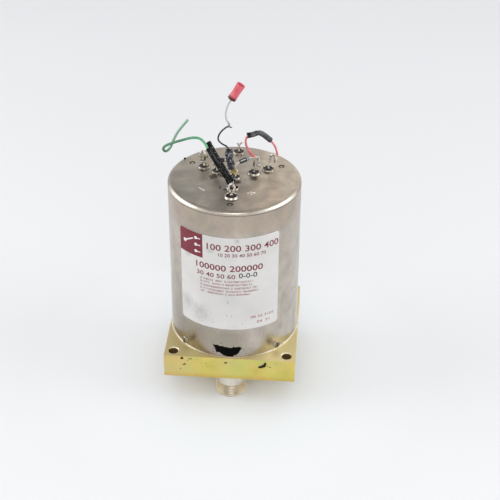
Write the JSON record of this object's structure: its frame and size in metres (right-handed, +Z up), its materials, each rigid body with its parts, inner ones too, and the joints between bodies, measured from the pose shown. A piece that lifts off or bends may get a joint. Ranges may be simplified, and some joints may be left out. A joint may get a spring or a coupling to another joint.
{
  "type": "coaxial antenna switch",
  "caption": "Coaxial relay switch: a drawn round can on a square drilled plate, threaded radio-frequency jacks underneath and glass-sealed solder terminals with wires on top.",
  "frame": {"origin": "middle of the square plate's outline, at the level of the jacks' lower ends", "axes": "+Z up from the jacks through the solder terminals, -Y towards the label, +X to the right seen from the label"},
  "size_m": [0.0683, 0.066, 0.1633],
  "materials": {
    "chromated_aluminium": "yellow chromate over a machined surface",
    "nickel_plate": "nickel plate on brass, satin",
    "ptfe": "turned PTFE",
    "gold_contact": "gold plate on beryllium copper",
    "bright_aluminium": "machined",
    "steel_fastener": "passivated steel",
    "ultem": "moulded amber plastic",
    "spring_steel": "drawn spring wire",
    "solenoid_steel": "zinc-plated soft steel",
    "bobbin_plastic": "moulded black plastic",
    "coil_wire": "enamelled copper under tape",
    "board_laminate": "glass-epoxy laminate",
    "blade_bronze": "phosphor bronze strip",
    "can_nickel": "drawn steel, nickel plated and stained",
    "screw_steel": "slotted steel",
    "label_film": "white polyester film",
    "eyelet_tin": "tinned",
    "seal_glass": "dark sealing glass",
    "pin_tin": "solder-coated wire",
    "diode_body": "black moulded body",
    "black_sleeve": "shrunk black sleeving",
    "grey_sleeve": "crumpled dark grey sleeving",
    "jumper_sleeve_grey": "bent dark grey sleeving",
    "red_insulation": "red PVC",
    "green_insulation": "green PVC",
    "lead_insulation": "thin black insulation",
    "harness_insulation": "white PTFE insulation"
  },
  "bodies": {
    "housing": {"base_block": "chromated_aluminium", "jack_shell_common": "nickel_plate", "jack_bead_common": "ptfe", "jack_contact_common": "gold_contact", "jack_shell_1": "nickel_plate", "jack_bead_1": "ptfe", "jack_contact_1": "gold_contact", "jack_shell_2": "nickel_plate", "jack_bead_2": "ptfe", "jack_contact_2": "gold_contact", "jack_shell_3": "nickel_plate", "jack_bead_3": "ptfe", "jack_contact_3": "gold_contact", "cavity_cover": "bright_aluminium", "cover_screws": "steel_fastener", "return_spring_1": "spring_steel", "return_spring_2": "spring_steel", "return_spring_3": "spring_steel", "solenoid_deck": "bright_aluminium", "deck_standoffs": "steel_fastener", "board_posts": "steel_fastener", "board_nuts": "steel_fastener", "solenoid_cases": "solenoid_steel", "solenoid_bobbins": "bobbin_plastic", "solenoid_coils": "coil_wire", "solenoid_end_caps": "solenoid_steel", "solenoid_nuts": "steel_fastener", "indicator_board": "board_laminate", "blade_brackets": "blade_bronze", "indicator_contacts": "gold_contact", "can": "can_nickel", "can_screws": "screw_steel", "label": "label_film", "terminal_eyelets": "eyelet_tin", "terminal_glass": "seal_glass", "terminal_pins": "pin_tin", "diodes": "diode_body", "diode_leads": "pin_tin", "long_sleeve": "black_sleeve", "centre_sleeve": "grey_sleeve", "jumper_wire": "red_insulation", "jumper_sleeve": "jumper_sleeve_grey", "green_wire": "green_insulation", "lead_wire": "lead_insulation", "red_sleeve": "red_insulation", "harness_wires": "harness_insulation"},
    "actuator_1": {"plunger_1": "solenoid_steel", "pushrod_1": "ultem", "reed_1": "gold_contact"},
    "indicator_blade_1": {"indicator_blade_1": "blade_bronze"},
    "actuator_2": {"plunger_2": "solenoid_steel", "pushrod_2": "ultem", "reed_2": "gold_contact"},
    "indicator_blade_2": {"indicator_blade_2": "blade_bronze"},
    "actuator_3": {"plunger_3": "solenoid_steel", "pushrod_3": "ultem", "reed_3": "gold_contact"},
    "indicator_blade_3": {"indicator_blade_3": "blade_bronze"}
  },
  "joints": [
    {"name": "actuator_1_slide", "type": "slide", "parent": "housing", "child": "actuator_1", "axis": [0, 0, -1], "range_m": [0, 0.0012], "stiffness_N_per_m": 500, "springref_m": -0.002, "deforming": ["return_spring_1"]},
    {"name": "actuator_2_slide", "type": "slide", "parent": "housing", "child": "actuator_2", "axis": [0, 0, -1], "range_m": [0, 0.0012], "stiffness_N_per_m": 500, "springref_m": -0.002, "deforming": ["return_spring_2"]},
    {"name": "actuator_3_slide", "type": "slide", "parent": "housing", "child": "actuator_3", "axis": [0, 0, -1], "range_m": [0, 0.0012], "stiffness_N_per_m": 500, "springref_m": -0.002, "deforming": ["return_spring_3"]},
    {"name": "indicator_blade_1_hinge", "type": "hinge", "parent": "housing", "child": "indicator_blade_1", "pos_m": [0, -0.0204, 0.0816], "axis": [-1, 0, 0], "range_deg": [0, 8.61]},
    {"name": "indicator_blade_2_hinge", "type": "hinge", "parent": "housing", "child": "indicator_blade_2", "pos_m": [-0.01767, 0.0102, 0.0816], "axis": [0.5, 0.866, 0], "range_deg": [0, 8.61]},
    {"name": "indicator_blade_3_hinge", "type": "hinge", "parent": "housing", "child": "indicator_blade_3", "pos_m": [0.01767, 0.0102, 0.0816], "axis": [0.5, -0.866, 0], "range_deg": [0, 8.61]}
  ],
  "couplings": [
    {"joint": "indicator_blade_1_hinge", "follows": "actuator_1_slide", "rad_per_m": 125},
    {"joint": "indicator_blade_2_hinge", "follows": "actuator_2_slide", "rad_per_m": 125},
    {"joint": "indicator_blade_3_hinge", "follows": "actuator_3_slide", "rad_per_m": 125}
  ]
}
